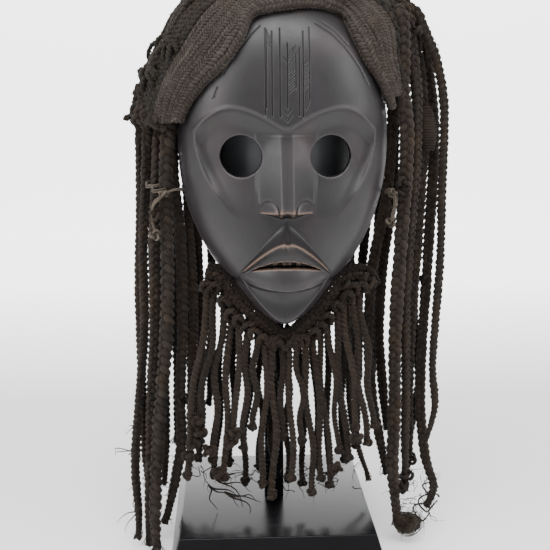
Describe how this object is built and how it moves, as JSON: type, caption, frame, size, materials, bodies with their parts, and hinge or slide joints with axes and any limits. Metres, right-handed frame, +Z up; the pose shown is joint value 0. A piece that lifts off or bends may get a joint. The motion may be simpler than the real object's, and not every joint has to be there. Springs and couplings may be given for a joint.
{
  "type": "carved wooden mask",
  "caption": "Oval carved face mask with a pointed chin, a plaited fibre cap, hanging hair braids and a corded beard, on a square display stand.",
  "frame": {"origin": "middle of the stand's bottom face, on the table", "axes": "+X to the viewer's right, -Y towards the viewer, +Z up"},
  "size_m": [0.2465, 0.1658, 0.4439],
  "materials": {
    "blackened_wood": "dark hand-carved hardwood, stained and rubbed to a satin",
    "cap_fibre": "plaited plant fibre, dark and dusty",
    "pale_fibre": "twisted plant fibre, worn pale",
    "hair_fibre": "plaited plant fibre, dark brown",
    "beard_fibre": "two-ply twisted plant fibre, mid brown",
    "black_lacquer": "smooth black lacquer, semi-gloss",
    "grey_steel": "dark grey satin paint",
    "black_felt": "black wool felt"
  },
  "bodies": {
    "stand": {"plinth": "black_lacquer", "plinth_felt": "black_felt", "post": "black_lacquer", "post_screw": "grey_steel", "cradle_arm": "black_lacquer", "arm_screw": "grey_steel", "cradle_plate": "grey_steel", "cradle_pads": "black_felt", "forehead_rods": "grey_steel"},
    "mask": {"mask_face": "blackened_wood", "cap_net": "cap_fibre", "cap_edge_roll": "pale_fibre", "cap_band_1": "cap_fibre", "cap_band_2": "cap_fibre", "cap_band_3": "cap_fibre", "cap_band_4": "cap_fibre", "cap_band_5": "cap_fibre", "beard_lashings": "pale_fibre", "beard_band": "beard_fibre"},
    "beard": {"beard_cords_left": "beard_fibre", "beard_cords_middle": "beard_fibre", "beard_cords_right": "beard_fibre", "beard_cords_back": "beard_fibre"},
    "hair_left": {"hair_braid_left_01": "hair_fibre", "hair_braid_left_02": "hair_fibre", "hair_braid_left_03": "hair_fibre", "hair_braid_left_04": "hair_fibre", "hair_braid_left_05": "hair_fibre", "hair_braid_left_06": "hair_fibre", "hair_braid_left_07": "hair_fibre", "hair_braid_left_08": "hair_fibre", "hair_braid_left_09": "hair_fibre", "hair_braid_left_10": "hair_fibre", "hair_braid_left_11": "hair_fibre", "hair_braid_left_12": "hair_fibre", "side_tie_left": "pale_fibre"},
    "hair_right": {"hair_braid_right_02": "hair_fibre", "hair_braid_right_03": "hair_fibre", "hair_braid_right_04": "hair_fibre", "hair_braid_right_05": "hair_fibre", "hair_braid_right_06": "hair_fibre", "hair_braid_right_07": "hair_fibre", "hair_braid_right_08": "hair_fibre", "hair_braid_right_09": "hair_fibre", "hair_braid_right_10": "hair_fibre", "hair_braid_right_11": "hair_fibre", "hair_braid_right_12": "hair_fibre", "hair_braid_right_13": "hair_fibre", "side_tie_right": "pale_fibre"},
    "loose_braid": {"hair_braid_right_01": "hair_fibre"}
  },
  "joints": [
    {"name": "mask_lift", "type": "slide", "parent": "stand", "child": "mask", "axis": [0, 0, 1], "range_m": [0, 0.012]},
    {"name": "beard_swing", "type": "hinge", "parent": "mask", "child": "beard", "pos_m": [0.008, -0.0375, 0.196], "axis": [-1, 0, 0], "range_deg": [-4, 20]},
    {"name": "hair_left_swing", "type": "hinge", "parent": "mask", "child": "hair_left", "pos_m": [-0.112, 0, 0.33], "axis": [0, 1, 0], "range_deg": [0, 18]},
    {"name": "hair_right_swing", "type": "hinge", "parent": "mask", "child": "hair_right", "pos_m": [0.132, 0, 0.398], "axis": [0, -1, 0], "range_deg": [0, 18]},
    {"name": "loose_braid_swing", "type": "hinge", "parent": "hair_right", "child": "loose_braid", "pos_m": [0.106, -0.014, 0.398], "axis": [0, -1, 0], "range_deg": [0, 22]}
  ]
}
